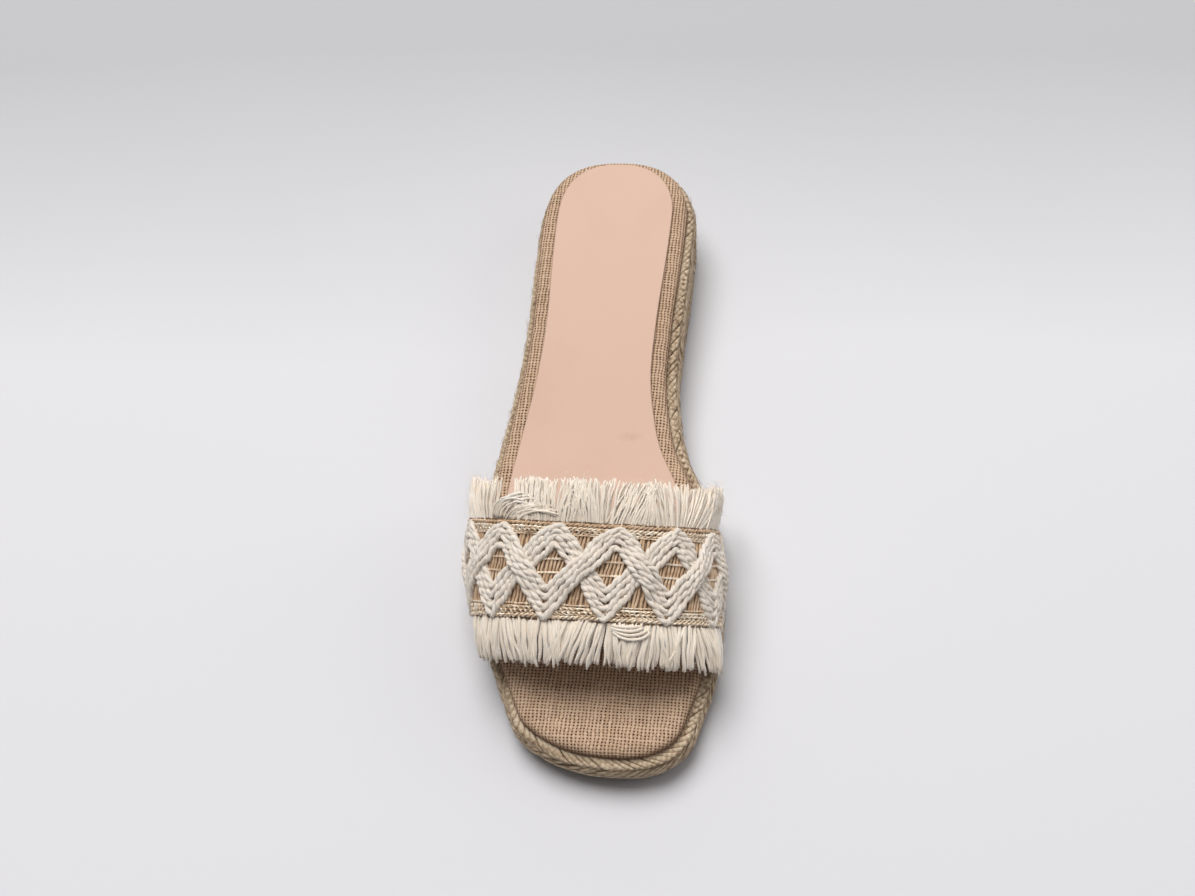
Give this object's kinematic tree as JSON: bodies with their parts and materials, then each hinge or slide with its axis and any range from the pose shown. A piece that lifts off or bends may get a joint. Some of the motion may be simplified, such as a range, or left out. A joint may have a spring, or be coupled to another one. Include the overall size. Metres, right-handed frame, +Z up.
{
  "type": "slide sandal",
  "caption": "Open-toed espadrille slide for the right foot: low plaited wedge sole, woven footbed with a smooth sock, and one wide arched strap of patterned trim with frayed edges.",
  "frame": {"origin": "on the floor, under the middle of the whole shoe's bounding box", "axes": "-Y towards the toe, +X towards the arch and big toe (medial) side, +Z up from the floor"},
  "size_m": [0.0933, 0.2546, 0.0683],
  "materials": {
    "outsole": "matte tan rubber",
    "jute": "plaited natural jute",
    "burlap": "plain-woven burlap",
    "sock": "smooth matte pale pink",
    "trim": "woven tan trim with raised cream cords",
    "cotton": "loose cream cotton yarn"
  },
  "bodies": {
    "root": {"outsole": "outsole", "jute_midsole": "jute", "footbed": "burlap", "insole_sock": "sock", "strap": "trim", "fringe_rear": "cotton", "fringe_front": "cotton"}
  },
  "joints": []
}
